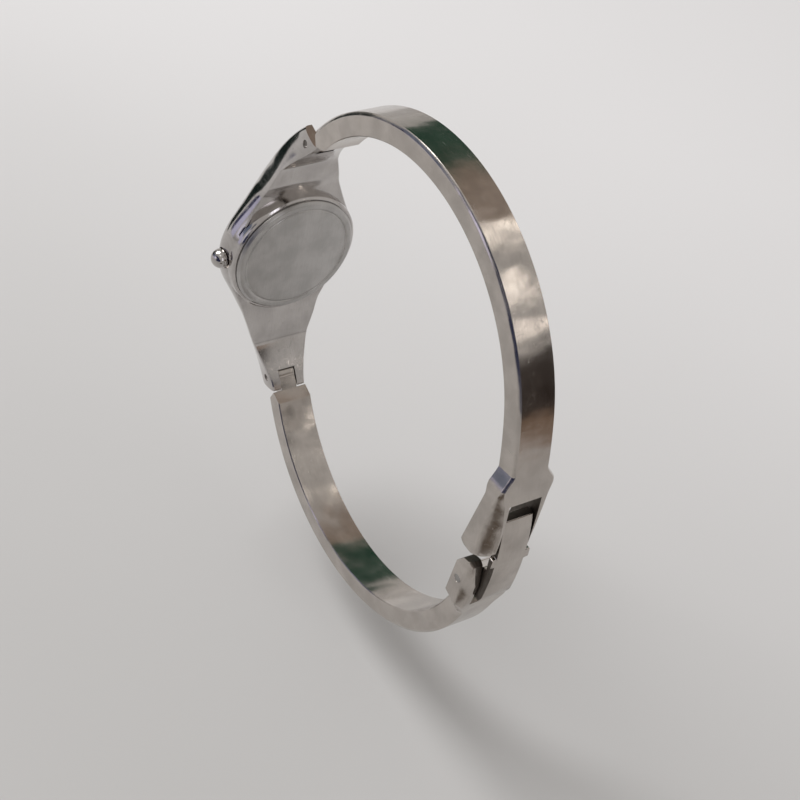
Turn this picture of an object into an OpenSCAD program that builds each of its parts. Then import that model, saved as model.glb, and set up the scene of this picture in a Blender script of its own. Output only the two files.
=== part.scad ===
// Ladies' quartz wristwatch on a hinged rigid bangle, closed as it sits on its stand.
// The bangle lies round the Y axis with its centre at the origin. The watch head is on
// the -X side with its dial facing -X and 12 o'clock up, and the clasp is on the +X side.

/* [Bangle] */
// Overall height of the bangle over its outer faces
bangle_height = 63; // [59:0.5:69]
// Outer radius of the two tight bends at the top and bottom
bend_radius = 23.8; // [22:0.2:25]
// Outer radius of the flat bend on the clasp side
side_radius = 50; // [44:1:60]
// Width of the band along the wrist
band_width = 4.6; // [4.2:0.1:5.2]
// Thickness of the band
band_thickness = 2.6; // [2.2:0.1:3]
// Polished bevel along both outer edges of the band
edge_bevel = 0.3; // [0.1:0.05:0.5]

/* [Watch head] */
// Width of the case across the 9 and 3 o'clock sides
case_width = 17.2; // [16.8:0.2:18.4]
// Distance between the two lug pins
pin_spacing = 35.6; // [34:0.2:37]
// Distance of the lug pins from the bangle's centre, towards the dial
pin_offset = 21.4; // [21:0.1:21.8]
// Distance of the case back's outer face from the bangle's centre
back_offset = 22.8; // [22.4:0.1:23.2]
// Height of the case from its back face to its rim
case_height = 3.9; // [3.8:0.1:4.2]
// Diameter of the glass
glass_diameter = 14.2; // [14:0.1:14.4]
// Diameter of the ball-shaped crown
crown_diameter = 2.4; // [2.2:0.1:2.8]

/* [Clasp] */
// Width of the two clasp blocks
clasp_width = 6.9; // [6.4:0.1:7.6]
// Width of the slot that the lever folds into
slot_width = 4; // [4:0.1:4.4]
// Width of the lever
lever_width = 3.8; // [3:0.1:3.8]
// Height of the lever's free end above the bangle's centre
lever_top = 2.1; // [1.8:0.1:2.6]
// Diameter of the lever's pivot pin and of the catch pin
clasp_pin_diameter = 1; // [0.8:0.1:1.1]

/* [Hands] */
// Length of the hour hand from the dial's centre
hour_hand_length = 3.4; // [3:0.1:4]
// Length of the minute hand from the dial's centre
minute_hand_length = 5.1; // [4.6:0.1:5.6]
// Length of the second hand from the dial's centre
second_hand_length = 5.7; // [5:0.1:6]

/* [Hidden] */

$fn = 96;
overlap = 0.01;      // how far a cutter runs past the face it opens
slip = 0.05;         // running clearance of small shafts in their holes
side_gap = 0.1;      // gap beside a knuckle or lever between its cheeks
far = 40;            // further than anything that a cutter has to pass
pin_facets = 48;
wheel_facets = 36;

// Bangle outline, drawn in the X and Z directions
bend_z = bangle_height / 2 - bend_radius;
side_x = -sqrt(pow(side_radius - bend_radius, 2) - pow(bend_z, 2));
join_angle = atan2(bend_z, -side_x);
pin_z = pin_spacing / 2;
pin_angle = atan2(pin_z - bend_z, -pin_offset);
band_end_angle = pin_angle - 2.8;

// Lug hinge, with the band's flat end given from the pin
lug_pin_radius = 0.45;
lug_pin_inset = 0.15;
knuckle_radius = 1.1;
tongue_width = 2.1;
tongue_top = [-0.1, 0.99 * knuckle_radius];
tongue_bottom = [0.5, -0.9 * knuckle_radius];
tongue_inset = [0.8, 0.4];
tongue_reach = 8;
band_end_outer = [1.1, 3.1];
band_end_inner = [2, 0.9];
band_end_under = [4.1, 1.6];
inner_bevel = 0.1;
band_cut_corners = [[3, -6], [-8, -6], [-8, 12]];  // clear of the band on the head's side
band_facets = 240;

// Clasp, placed from the bangle's outer face at the height of its centre
face = side_radius + side_x;
clasp_edge = clasp_width / 2;
band_edge = band_width / 2;
upper_inner = [[face - 1.86, 10.6], [face - 4.31, -3.3]];
lower_inner = [[face - 3.96, -6.6], [face - 4.71, -15.4]];
ramp_top = 8.3;
ramp_bottom = -14.4;
ramp_length = 2.1;
ramp_margin = 0.05;
block_joint = [1, 0.4];  // how far the band stays from the upper slot and the lower one
block_depth = 8;
round_depth = 1.4;
round_width = 0.9;
tip_inner_radius = 1;
tip_outer_radius = 2.8;
tip_level = -3.9;
tip_reach = 0.2;        // from the block's face to where the tip's outer round starts
slot_top = 4.6;
slot_bottom = -12;
prong_inner = [face - 4.06, -6.9];
prong_end = [face - 2.96, -5.35];
prong_corner = [face - 1.51, -5.15];
prong_outer = [face - 1.01, -8.5];
prong_root = [face - 1.41, -11.9];
prong_ridge = face - 2.56;
prong_facet = [0.3, 0.35];
pivot = [face - 3.057, -8.8];
barrel_radius = 1.05;
catch = [face - 2.157, -0.6];
catch_pin_inset = 0.5;
pivot_pin_inset = 0.05;
lever_radius = 34;
lever_peak = [face + 0.24, -4.5];
lever_thickness = 1.1;
lever_tail = -10.6;
lever_tail_radius = 3.05;
lever_back = lever_peak[0] - lever_thickness;
web_reach = 3;
web_inset = 0.3;
plate_bite = 0.5;       // how deep the web and the hook run into the plate
shoulder_width = 4.9;
shoulder_top = -3.05;
shoulder_thickness = 0.66;
shoulder_length = 1.2;
hook_radius = clasp_pin_diameter / 2 + 0.1;
hook_throat = 0.24;
hook_lip = 0.7;
hook_heel = 0.5;

// Levels inside the head, measured towards the dial from the bangle's centre
case_floor = back_offset + 0.5;
rim_level = case_floor + case_height;
crown_level = case_floor + 2.15;
flange_top = back_offset + 0.88;
back_ledge = back_offset + 1.1;
movement_floor = case_floor + 0.65;
bridge_level = case_floor + 0.68;
bridge_thickness = 0.16;
bridge_top = bridge_level + bridge_thickness;
plate_level = case_floor + 1.6;
plate_pocket = case_floor + 2.2;
plate_top = case_floor + 2.6;
dial_level = plate_top + 0.02;
dial_thickness = 0.25;
dial_top = dial_level + dial_thickness;
rehaut_level = dial_top + 0.03;
glass_level = rehaut_level + 0.75;
glass_thickness = 1.1;
hour_hand_level = dial_top + 0.11;
minute_hand_level = dial_top + 0.31;
second_hand_level = dial_top + 0.51;
hand_thickness = 0.1;

// Radii inside the head
case_radius = case_width / 2;
lug_root = 3.6;
lug_depth = 5;
lug_end = pin_z + band_thickness;
lug_waist = 10.5;
lug_back = [7.4, 4.74, band_width / 2];
lug_front = [7.35, 3.62, 1.1];
lug_under = [[0, 0.9], [8.9, 0.9], [10.6, 0.35], [13.3, -0.15]];  // from the case's floor
lug_ear = [[-2.6, 0.57], [-0.5, -1.16], [0.6, -1.95],  // from the pin
    [0.85, -1.83], [0.59, -0.7], [1.6, 0.92]];
lug_facets = 240;
head_facets = 144;
crown_facets = 72;
drum_side = [[-0.45, 0], [-0.25, 0.1], [0, 1.2], [0, 2.3], [-0.1, 3]];  // from the case's lower edge
rim_edge = [[-0.3, -0.1], [-0.7, 0.1]];  // from the rim's outer edge
knuckle_gap = 0.2;
knuckle_slot = tongue_width + 2 * side_gap;
recess_gap = 0.1;
back_bevel = 0.3;
back_groove = [1.2, 1.1, 0.95, 0.85];  // inwards from the back's edge
back_groove_depth = 0.1;
back_lip = 0.3;
notch = [1, 1.6, 0.35];
notch_bearing = 215;
glass_bevel = 0.4;
gasket_height = 0.35;
back_radius = 7.8;
cavity_radius = 7.3;
rehaut_radius = 6.9;
glass_radius = glass_diameter / 2;
glass_seat_radius = glass_radius + 0.25;
holder_inner_radius = 6.65;
plate_radius = 6.6;
lug_bend_radius = 16.1;
lug_bend_start = 8;
stem_radius = 0.35;
tube_radius = 0.75;
tube_bore_radius = 0.6;
crown_radius = crown_diameter / 2;
crown_centre = case_radius + 0.15;
recess_floor = cavity_radius + 0.4;
crown_inner_face = recess_floor + 0.15;
tube_start = rehaut_radius + slip;
tube_end = recess_floor + 0.12;
crown_gasket_length = 0.3;
seat_gap = 0.02;        // left between parts that only just rest on one another
holder_gap = 0.1;
dial_hole_radius = 0.7;
stem_end = 3.2;
stem_gap = 0.15;

// Levels of the wheels, counted down from the main plate, and of the motion work
wheel_thickness = 0.09;
pinion_height = 0.16;
rotor_pinion_level = plate_level - 0.74;
fifth_wheel_level = plate_level - 0.7;
fifth_pinion_level = plate_level - 0.61;
seconds_wheel_level = plate_level - 0.58;
magnet_level = plate_level - 0.5;
coil_level = plate_level - 0.46;
seconds_pinion_level = plate_level - 0.42;
stator_level = plate_level - 0.4;
third_wheel_level = plate_level - 0.38;
third_pinion_level = plate_level - 0.22;
centre_wheel_level = plate_level - 0.18;
cannon_level = plate_pocket + 0.04;
minute_pinion_level = plate_pocket + 0.15;
hour_wheel_level = plate_pocket + 0.22;

// Movement layout seen from the dial side, with 12 o'clock along +X
battery_radius = 2.4;
battery_height = 1.65;
battery_place = [-3.45, 1.9];
train_distance = 1.6;
third_place = train_distance * [cos(45), -sin(45)];
fast_module = 0.08;
fifth_place = fast_module * 18 * [cos(60), sin(60)];
rotor_module = 0.06;
rotor_place = fifth_place + rotor_module * 21 * [cos(45), sin(45)];
motion_module = 0.085;
minute_place = motion_module * 20 * [-cos(60), -sin(60)];
screw_places = [[2.95, 0.35], [-0.75, -2.35]];
coil_y = 5;
coil_ends = [-1.9, 3.1];
coil_radius = 0.36;
cheek_radius = coil_radius + 0.06;
cheek = 0.2;
stator_thickness = 0.12;
stator_ring_radius = 1.05;
stator_bore_radius = 0.62;
clamp_foot = [[-3, -3.4], [-1.6, -3.4]];
clamp_head = [[1.2, -0.5], [0.7, 0.6], [-0.3, 0.6], [-0.8, -0.5]];  // from the battery's centre
clamp_thickness = 0.17;
battery_step = [0.3, 0.2];
arbor_radius = 0.09;
seconds_arbor_radius = 0.12;
centre_bore_radius = 0.16;
centre_tube_radius = 0.3;
cannon_radius = 0.42;
hour_pipe_radius = 0.62;
minute_post_radius = 0.13;
play = 0.03;
pivot_depth = 0.12;
magnet_radius = 0.5;
magnet_height = 0.38;
third_module = train_distance / 34;
centre_module = train_distance / 36;
pocket_place = [-0.4, -0.6];
pocket_radius = 2.85;
lever_pocket = [1.95, 2.3];
lever_pocket_corner = [-0.65, -6.2];
pillar_radius = 0.45;
screw_radius = 0.19;
screw_head_radius = 0.36;
screw_head_height = 0.17;
screw_slot = [1, 0.12, 0.08];
bridge_place = [1, 0];
bridge_radius = 3.4;
battery_gap = 0.1;
board_thickness = 0.14;
board_edge = -1;
chip_place = [-3.6, -4.2];
chip_size = 1.5;
chip_height = 0.41;
can_radius = 0.37;
can_length = 3.3;
can_place = [1, -4.4];
marker_end = 6.4;
marker_width = 0.26;
marker_height = 0.07;
marker_length = 0.9;
quarter_length = 1.3;
hand_boss = 0.3;
groove_start = 5;
groove_width = 0.4;
groove_depth = 0.11;
yoke = [1.5, 0.9, 0.08];
yoke_pin = [0.4, 0.2];

// Colours read from the photograph and from what such parts look like
steel = [0.74, 0.71, 0.69];
steel_bright = [0.82, 0.81, 0.82];
steel_dark = [0.5, 0.49, 0.48];
brass = [0.8, 0.66, 0.36];
plastic_grey = [0.55, 0.55, 0.56];
rubber_black = [0.1, 0.1, 0.1];
copper = [0.72, 0.4, 0.22];
board_green = [0.1, 0.32, 0.2];
dial_white = [0.93, 0.93, 0.91];
glass_clear = [0.85, 0.92, 0.95, 0.4];

// Placing helpers

// Turns a drawing made in the X and Z directions into a plate that is centred on Y = 0
module across(width) {
    rotate([90, 0, 0])
        linear_extrude(width, center = true)
            children();
}

// Stands head parts up: local X is 12 o'clock, local Z points out of the dial
module on_head() {
    rotate([0, -90, 0])
        children();
}

// A flat piece of the movement between two levels
module layer(from, to) {
    translate([0, 0, from])
        linear_extrude(to - from)
            children();
}

// Puts a part on the stem's line, with its local Z pointing out through the crown
module on_stem(from = 0) {
    translate([0, -from, crown_level])
        rotate([90, 0, 0])
            children();
}

// Copies a part to both sides of the bangle's middle plane
module both_sides() {
    children();
    mirror([0, 1, 0])
        children();
}

// Half plane of the drawing above or below a height
module above(height) {
    translate([-far, height])
        square([2 * far, 2 * far]);
}

module below(height) {
    translate([-far, height - 2 * far])
        square([2 * far, 2 * far]);
}

// Parts of the bangle

// Band section for rotate_extrude: full thickness with bevelled outer edges
module band_section(radius) {
    inner = radius - band_thickness;
    polygon([
        [inner + inner_bevel, -band_edge],
        [radius - edge_bevel, -band_edge],
        [radius, edge_bevel - band_edge],
        [radius, band_edge - edge_bevel],
        [radius - edge_bevel, band_edge],
        [inner + inner_bevel, band_edge],
        [inner, band_edge - inner_bevel],
        [inner, inner_bevel - band_edge]
    ]);
}

// One bend of the band, from one angle to another about its own centre
module band_arc(centre_x, centre_z, radius, from, to) {
    translate([centre_x, 0, centre_z])
        rotate([90, 0, 0])
            rotate_extrude(angle = to - from, start = from, $fn = band_facets)
                band_section(radius);
}

// Side outline of a clasp block: outer bend and straight inner face
module clasp_outline(inner) {
    intersection() {
        translate([side_x, 0])
            circle(side_radius - overlap, $fn = 360);
        polygon([
            inner[0],
            [far, inner[0][1]],
            [far, inner[1][1] - ramp_length],
            inner[1] - ramp_length * inner_direction(inner),
            inner[1]
        ]);
    }
}

// Revolved block round the flat bend, whose outer corners are well rounded
module rounded_block() {
    outer = side_radius - overlap;
    lower_edge = [
        for (angle = [0:15:90])
            [outer - round_depth * (1 - sin(angle)), round_width * (1 - cos(angle)) - clasp_edge]
    ];
    upper_edge = [
        for (index = [len(lower_edge) - 1:-1:0])
            [lower_edge[index][0], -lower_edge[index][1]]
    ];
    translate([side_x, 0, 0])
        rotate([90, 0, 0])
            rotate_extrude(angle = 30, start = -15, $fn = band_facets)
                polygon(concat(
                    [[outer - block_depth, clasp_edge], [outer - block_depth, -clasp_edge]],
                    lower_edge,
                    upper_edge
                ));
}

// Keeps the side of a plane that faces away from the given direction
module cut_plane(point, direction) {
    length = norm(direction);
    translate(point)
        rotate([0, acos(direction[2] / length), atan2(direction[1], direction[0])])
            translate([-far / 2, -far / 2, 0])
                cube([far, far, far / 2]);
}

// Plane through three points of a clasp block's side, cut away on both sides
module side_cut(first, second, third) {
    both_sides()
        cut_plane(first, cross(second - first, third - first));
}

// Knuckle between the lug ears, joined to the band's end
module lug_tongue() {
    reach = band_end_angle - tongue_reach;
    difference() {
        across(tongue_width)
            union() {
                translate([-pin_offset, pin_z])
                    circle(knuckle_radius);
                polygon([
                    [-pin_offset, pin_z] + tongue_top,
                    [-pin_offset, pin_z] + tongue_bottom,
                    bend_point(bend_radius - band_thickness + tongue_inset[0], reach),
                    bend_point(bend_radius - tongue_inset[1], reach)
                ]);
            }
        lug_pin_bore(slip);
    }
}

function bend_point(radius, angle) = [radius * cos(angle), bend_z + radius * sin(angle)];

// Half band from the clasp to the lug, with its end cut flat in front of the ears
module half_band(clasp_level) {
    pin = [-pin_offset, pin_z];
    cutter = concat(
        [
            pin + band_end_outer + 2 * (band_end_outer - band_end_inner),
            pin + band_end_inner,
            pin + band_end_under
        ],
        [for (corner = band_cut_corners) pin + corner]
    );
    band_arc(side_x, 0, side_radius, asin(clasp_level / side_radius), join_angle);
    difference() {
        band_arc(0, bend_z, bend_radius, join_angle, band_end_angle);
        across(2 * band_width)
            polygon(cutter);
    }
    lug_tongue();
}

module lug_pin_bore(extra) {
    translate([-pin_offset, 0, pin_z])
        rotate([90, 0, 0])
            cylinder(r = lug_pin_radius + extra, h = far, center = true, $fn = pin_facets);
}

module clasp_pin_bore(place, extra) {
    translate([place[0], 0, place[1]])
        rotate([90, 0, 0])
            cylinder(r = clasp_pin_diameter / 2 + extra, h = far, center = true, $fn = pin_facets);
}

// Upper half: hinge tongue, bend, and the clasp block with its two prongs
module upper_bangle() {
    color(steel)
        difference() {
            union() {
                half_band(slot_top + block_joint[0]);
                difference() {
                    intersection() {
                        across(clasp_width + overlap)
                            intersection() {
                                clasp_outline(upper_inner);
                                upper_tip();
                                below(ramp_top - ramp_margin);
                            }
                        rounded_block();
                    }
                    side_cut(
                        [0, band_edge, ramp_top],
                        [far, band_edge, ramp_top],
                        [0, clasp_edge, ramp_top - ramp_length]
                    );
                }
            }
            translate([0, -slot_width / 2, slot_top - far])
                cube([far, slot_width, far]);
            clasp_pin_bore(catch, 0);
        }
}

// Outline above the prongs' ends, with a round inner and a rounder outer corner
module upper_tip() {
    inner_end = upper_inner[1] + (tip_level - upper_inner[1][1]) * inner_direction(upper_inner);
    inner_x = inner_end[0] + tip_inner_radius;
    outer_x = face + tip_reach - tip_outer_radius;
    inner_centre = [inner_x, tip_level + tip_inner_radius];
    outer_centre = [outer_x, tip_level + tip_outer_radius];
    polygon(concat(
        [[0, far], [0, inner_centre[1]], [inner_end[0], inner_centre[1]]],
        [for (angle = [195:15:270]) inner_centre + tip_inner_radius * [cos(angle), sin(angle)]],
        [for (angle = [280:10:360]) outer_centre + tip_outer_radius * [cos(angle), sin(angle)]],
        [[far, far]]
    ));
}

// Run of an inner face, per millimetre of height
function inner_direction(inner) = (inner[0] - inner[1]) / (inner[0][1] - inner[1][1]);

// Lower half: hinge tongue, bend, and the forked block that holds the lever
module lower_bangle() {
    color(steel)
        difference() {
            union() {
                mirror([0, 0, 1])
                    half_band(-slot_bottom + block_joint[1]);
                difference() {
                    across(clasp_width)
                        intersection() {
                            clasp_outline(lower_inner);
                            polygon([
                                prong_inner,
                                prong_end,
                                prong_corner,
                                prong_outer,
                                prong_root,
                                [far, ramp_bottom + block_joint[1]],
                                [far, ramp_bottom + ramp_margin],
                                [0, ramp_bottom + ramp_margin],
                                [0, prong_inner[1]]
                            ]);
                        }
                    side_cut(
                        [0, band_edge, ramp_bottom],
                        [0, clasp_edge, ramp_bottom + ramp_length],
                        [far, band_edge, ramp_bottom]
                    );
                    side_cut(
                        [prong_ridge, clasp_edge, prong_corner[1]],
                        [prong_corner[0] + prong_facet[0], band_edge, prong_corner[1] - prong_facet[1]],
                        [prong_ridge, clasp_edge, slot_bottom]
                    );
                }
            }
            translate([0, -slot_width / 2, slot_bottom])
                cube([far, slot_width, far]);
            clasp_pin_bore(pivot, 0);
        }
}

module upper_lug_pin() {
    color(steel_dark)
        translate([-pin_offset, 0, pin_z])
            rotate([90, 0, 0])
                cylinder(
                    r = lug_pin_radius,
                    h = band_width - 2 * lug_pin_inset,
                    center = true,
                    $fn = pin_facets
                );
}

module lower_lug_pin() {
    mirror([0, 0, 1])
        upper_lug_pin();
}

module clasp_pin(place, inset) {
    color(steel_dark)
        translate([place[0], 0, place[1]])
            rotate([90, 0, 0])
                cylinder(
                    d = clasp_pin_diameter,
                    h = clasp_width - 2 * inset,
                    center = true,
                    $fn = pin_facets
                );
}

module clasp_pivot_pin() {
    clasp_pin(pivot, pivot_pin_inset);
}

module clasp_catch_pin() {
    clasp_pin(catch, catch_pin_inset);
}

// Fold-over lever: curved plate with thumb shoulders, pivot barrel and a hook for the pin
module clasp_lever() {
    color(steel)
        difference() {
            union() {
                across(lever_width)
                    difference() {
                        union() {
                            intersection() {
                                union() {
                                    lever_plate(lever_thickness);
                                    lever_web();
                                }
                                union() {
                                    above(pivot[1]);
                                    translate(pivot)
                                        circle(lever_tail_radius);
                                }
                            }
                            translate(pivot)
                                circle(barrel_radius);
                            lever_hook();
                        }
                        translate(catch)
                            circle(hook_radius);
                    }
                across(shoulder_width)
                    intersection() {
                        lever_plate(shoulder_thickness);
                        above(shoulder_top - shoulder_length);
                        below(shoulder_top);
                    }
            }
            clasp_pin_bore(pivot, slip);
        }
}

// Side outline of the lever's curved plate
module lever_plate(thickness) {
    centre = lever_peak - [lever_radius, 0];
    intersection() {
        difference() {
            translate(centre)
                circle(lever_radius, $fn = 360);
            translate(centre)
                circle(lever_radius - thickness, $fn = 360);
        }
        above(lever_tail);
        below(lever_top);
        translate([0, -far])
            square([far, 2 * far]);
    }
}

// Joins the pivot barrel to the plate
module lever_web() {
    polygon([
        pivot + [0, -barrel_radius],
        [lever_back + plate_bite / 2, lever_tail],
        [lever_back + plate_bite, pivot[1] + web_reach],
        [lever_back - plate_bite, pivot[1] + web_reach],
        pivot + [-web_inset, barrel_radius * 0.95]
    ]);
}

// Block behind the plate that the catch pin's groove is cut into
module lever_hook() {
    polygon([
        catch + [hook_throat, hook_radius + hook_lip],
        [lever_back + plate_bite / 2, catch[1] + hook_radius + 2 * hook_lip],
        [lever_back + plate_bite, catch[1] - hook_radius - 2 * hook_heel],
        catch + [0, -hook_radius - hook_heel],
        catch,
        catch + [hook_throat, hook_radius - slip]
    ]);
}

// Parts of the watch head

// Slice of a tapered lug between two places along it, narrower towards the dial
module lug_slice(start, end, back_start, back_end, front_start, front_end) {
    hull() {
        translate([0, 0, case_floor - lug_depth])
            lug_outline(start - overlap, end, back_start, back_end, lug_depth);
        translate([0, 0, rim_level])
            lug_outline(start - overlap, end, front_start, front_end, 2 * overlap);
    }
}

module lug_outline(start, end, half_start, half_end, height) {
    linear_extrude(height)
        polygon([
            [start, -half_start],
            [end, -half_end],
            [end, half_end],
            [start, half_start]
        ]);
}

// Side view of a lug as a drawing along local X and Z, with its ear round the pin
module lug_profile() {
    intersection() {
        union() {
            translate([lug_bend_start, rim_level - lug_bend_radius])
                circle(lug_bend_radius, $fn = lug_facets);
            translate([0, case_floor])
                square([lug_bend_start, rim_level - case_floor]);
        }
        polygon(concat(
            [for (point = lug_under) point + [0, case_floor]],
            [for (point = lug_ear) point + [pin_z, pin_offset]],
            [[pin_z + knuckle_radius, far], [0, far]]
        ));
    }
}

module both_lugs() {
    for (turn = [0, 180])
        rotate([0, 0, turn])
            intersection() {
                rotate([90, 0, 0])
                    linear_extrude(far, center = true)
                        lug_profile();
                union() {
                    lug_slice(lug_root, lug_waist, lug_back[0], lug_back[1], lug_front[0], lug_front[1]);
                    lug_slice(lug_waist, pin_z, lug_back[1], lug_back[2], lug_front[1], lug_front[2]);
                    lug_slice(pin_z, lug_end, lug_back[2], lug_back[2], lug_front[2], lug_front[2]);
                }
            }
}

// Round body of the case with gently curved sides
module case_drum() {
    rotate_extrude($fn = head_facets)
        polygon(concat(
            [[0, case_floor]],
            [for (point = drum_side) point + [case_radius, case_floor]],
            [for (point = rim_edge) point + [case_radius, rim_level]],
            [[0, rim_level + rim_edge[1][1]]]
        ));
}

module case_middle() {
    color(steel_bright)
        on_head()
            difference() {
                union() {
                    case_drum();
                    both_lugs();
                }
                translate([0, 0, back_ledge - far])
                    cylinder(r = back_radius + slip, h = far);
                layer(back_ledge - overlap, rehaut_level)
                    circle(cavity_radius);
                layer(rehaut_level - overlap, glass_level + overlap)
                    circle(rehaut_radius);
                layer(glass_level, rim_level + far)
                    circle(glass_seat_radius);
                both_ends()
                    translate([pin_z - knuckle_radius - knuckle_gap, -knuckle_slot / 2, pin_offset - far / 2])
                        cube([far, knuckle_slot, far]);
                both_ends()
                    translate([pin_z, 0, pin_offset])
                        rotate([90, 0, 0])
                            cylinder(r = lug_pin_radius, h = far, center = true, $fn = pin_facets);
                on_stem()
                    cylinder(r = tube_radius, h = far, $fn = pin_facets);
                on_stem(recess_floor)
                    cylinder(r = crown_radius + recess_gap, h = far, $fn = crown_facets);
            }
}

module both_ends() {
    children();
    mirror([1, 0, 0])
        children();
}

// Case back with a bevelled edge, a turned groove and the lip that snaps in
module case_back() {
    lip_radius = cavity_radius - slip;
    lip_top = back_ledge + seat_gap;
    groove_level = back_offset + back_groove_depth;
    color(steel)
        on_head()
            difference() {
                rotate_extrude($fn = head_facets)
                    polygon([
                        [0, back_offset],
                        [back_radius - back_groove[0], back_offset],
                        [back_radius - back_groove[1], groove_level],
                        [back_radius - back_groove[2], groove_level],
                        [back_radius - back_groove[3], back_offset],
                        [back_radius - back_bevel, back_offset],
                        [back_radius, back_offset + back_bevel],
                        [back_radius, flange_top],
                        [lip_radius, flange_top],
                        [lip_radius, lip_top],
                        [lip_radius - back_lip, lip_top],
                        [lip_radius - back_lip, flange_top],
                        [0, flange_top]
                    ]);
                rotate([0, 0, notch_bearing])
                    translate([back_radius - notch[2], -notch[1] / 2, back_offset + notch[2] / 2])
                        cube(notch);
            }
}

module case_back_gasket() {
    color(rubber_black)
        on_head()
            layer(flange_top + overlap, back_ledge - overlap)
                difference() {
                    circle(back_radius);
                    circle(cavity_radius + slip);
                }
}

// Flat glass with a bevelled upper edge
module crystal() {
    color(glass_clear)
        on_head()
            rotate_extrude($fn = head_facets)
                polygon([
                    [0, glass_level],
                    [glass_radius, glass_level],
                    [glass_radius, glass_level + glass_thickness - glass_bevel],
                    [glass_radius - glass_bevel, glass_level + glass_thickness],
                    [0, glass_level + glass_thickness]
                ]);
}

module crystal_gasket() {
    color(plastic_grey)
        on_head()
            layer(glass_level, glass_level + gasket_height)
                difference() {
                    circle(glass_seat_radius - overlap);
                    circle(glass_radius + overlap);
                }
}

module crown_tube() {
    color(steel_dark)
        on_head()
            on_stem(tube_start)
                difference() {
                    cylinder(r = tube_radius, h = tube_end - tube_start, $fn = pin_facets);
                    translate([0, 0, -overlap])
                        cylinder(r = tube_bore_radius, h = far, $fn = pin_facets);
                }
}

module dial() {
    color(dial_white)
        on_head()
            layer(dial_level, dial_top)
                difference() {
                    circle(cavity_radius - holder_gap);
                    circle(dial_hole_radius);
                    translate([-tube_radius, -cavity_radius])
                        square([tube_radius * 2, cavity_radius - tube_start + seat_gap]);
                }
}

// Twelve plain applied bars, longer at each quarter
module hour_markers() {
    color(steel_bright)
        on_head()
            for (hour = [0:11])
                rotate([0, 0, hour * 30])
                    hour_marker(hour % 3 == 0 ? quarter_length : marker_length);
}

module hour_marker(length) {
    translate([marker_end - length, -marker_width / 2, dial_top])
        cube([length, marker_width, marker_height]);
}

module movement_holder() {
    color(plastic_grey)
        on_head()
            difference() {
                layer(movement_floor, plate_top)
                    difference() {
                        circle(cavity_radius - holder_gap);
                        circle(holder_inner_radius);
                    }
                on_stem()
                    cylinder(r = tube_radius + slip, h = far, $fn = pin_facets);
            }
}

// Parts of the movement

// Toothed outline with straight-flanked teeth, thinned for backlash
module gear_outline(teeth, gear_module) {
    pitch_radius = teeth * gear_module / 2;
    root_radius = pitch_radius - gear_module * 1.2;
    tip_radius = pitch_radius + gear_module * 0.75;
    step = 360 / teeth;
    tooth_points = [
        [root_radius, -0.27],
        [tip_radius, -0.12],
        [tip_radius, 0.12],
        [root_radius, 0.27]
    ];
    polygon([
        for (tooth = [0:teeth - 1])
            for (point = tooth_points)
                point[0] * [cos((tooth + point[1]) * step), sin((tooth + point[1]) * step)]
    ]);
}

function bearing(from, to) = atan2(to[1] - from[1], to[0] - from[0]);

// Turn that puts a wheel's gap over the tooth of the pinion that meets it at rest
function mesh_turn(teeth, pinion_teeth, bearing_from_pinion) =
    bearing_from_pinion + 180 - (0.5 - bearing_from_pinion * pinion_teeth / 360) * 360 / teeth;

// A wheel or pinion on a level, turned so that it meshes at rest
module gear(teeth, gear_module, level, height, turn = 0) {
    layer(level, level + height)
        rotate(turn)
            gear_outline(teeth, gear_module);
}

module shaft(from, to, radius = arbor_radius) {
    translate([0, 0, from])
        cylinder(r = radius, h = to - from, $fn = 24);
}

// Holes for the train's pivots, shared by the main plate and the bridge
module pivot_holes(from, to) {
    for (place = [third_place, fifth_place, rotor_place])
        translate(place)
            shaft(from, to, arbor_radius + play);
}

// Arbor between the bridge and the main plate
module arbor() {
    shaft(bridge_level + play, plate_level + pivot_depth);
}

// Main plate with its battery opening, motion-work pocket and stem channel
module main_plate() {
    color(brass)
        on_head() {
            difference() {
                layer(plate_level, plate_top)
                    difference() {
                        circle(plate_radius);
                        translate(battery_place)
                            circle(battery_radius + battery_gap);
                    }
                layer(plate_pocket, plate_top + 1)
                    translate(pocket_place)
                        circle(pocket_radius);
                shaft(plate_level - 1, plate_top, centre_tube_radius + 2 * play);
                pivot_holes(plate_level - overlap, plate_level + pivot_depth + play);
                on_stem(stem_end - stem_gap)
                    cylinder(r = stem_radius + slip, h = far, $fn = wheel_facets);
                translate([lever_pocket_corner[0], lever_pocket_corner[1], crown_level + slip])
                    cube([lever_pocket[0], lever_pocket[1], 2]);
            }
            translate(minute_place)
                shaft(plate_pocket - overlap, plate_top, minute_post_radius);
            for (place = screw_places)
                translate(place)
                    difference() {
                        shaft(bridge_top + overlap, plate_level + overlap, pillar_radius);
                        shaft(bridge_level, plate_level + 1, screw_radius + overlap);
                    }
        }
}

module train_bridge() {
    color(brass)
        on_head()
            difference() {
                layer(bridge_level, bridge_top)
                    difference() {
                        translate(bridge_place)
                            circle(bridge_radius);
                        translate(battery_place)
                            circle(battery_radius + battery_gap);
                    }
                pivot_holes(bridge_level - 1, bridge_level + 1);
                shaft(bridge_level - 1, bridge_level + 1, seconds_arbor_radius + play);
                for (place = screw_places)
                    translate(place)
                        shaft(bridge_level - 1, bridge_level + 1, screw_radius + play);
            }
}

// Two slotted screws through the bridge into the main plate's pillars
module bridge_screws() {
    head_level = bridge_level - screw_head_height;
    color(steel_dark)
        on_head()
            for (place = screw_places)
                translate(place)
                    difference() {
                        union() {
                            shaft(head_level, bridge_level, screw_head_radius);
                            shaft(bridge_level - overlap, plate_level - slip, screw_radius);
                        }
                        translate([-screw_slot[0] / 2, -screw_slot[1] / 2, head_level - overlap])
                            cube(screw_slot);
                    }
}

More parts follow.
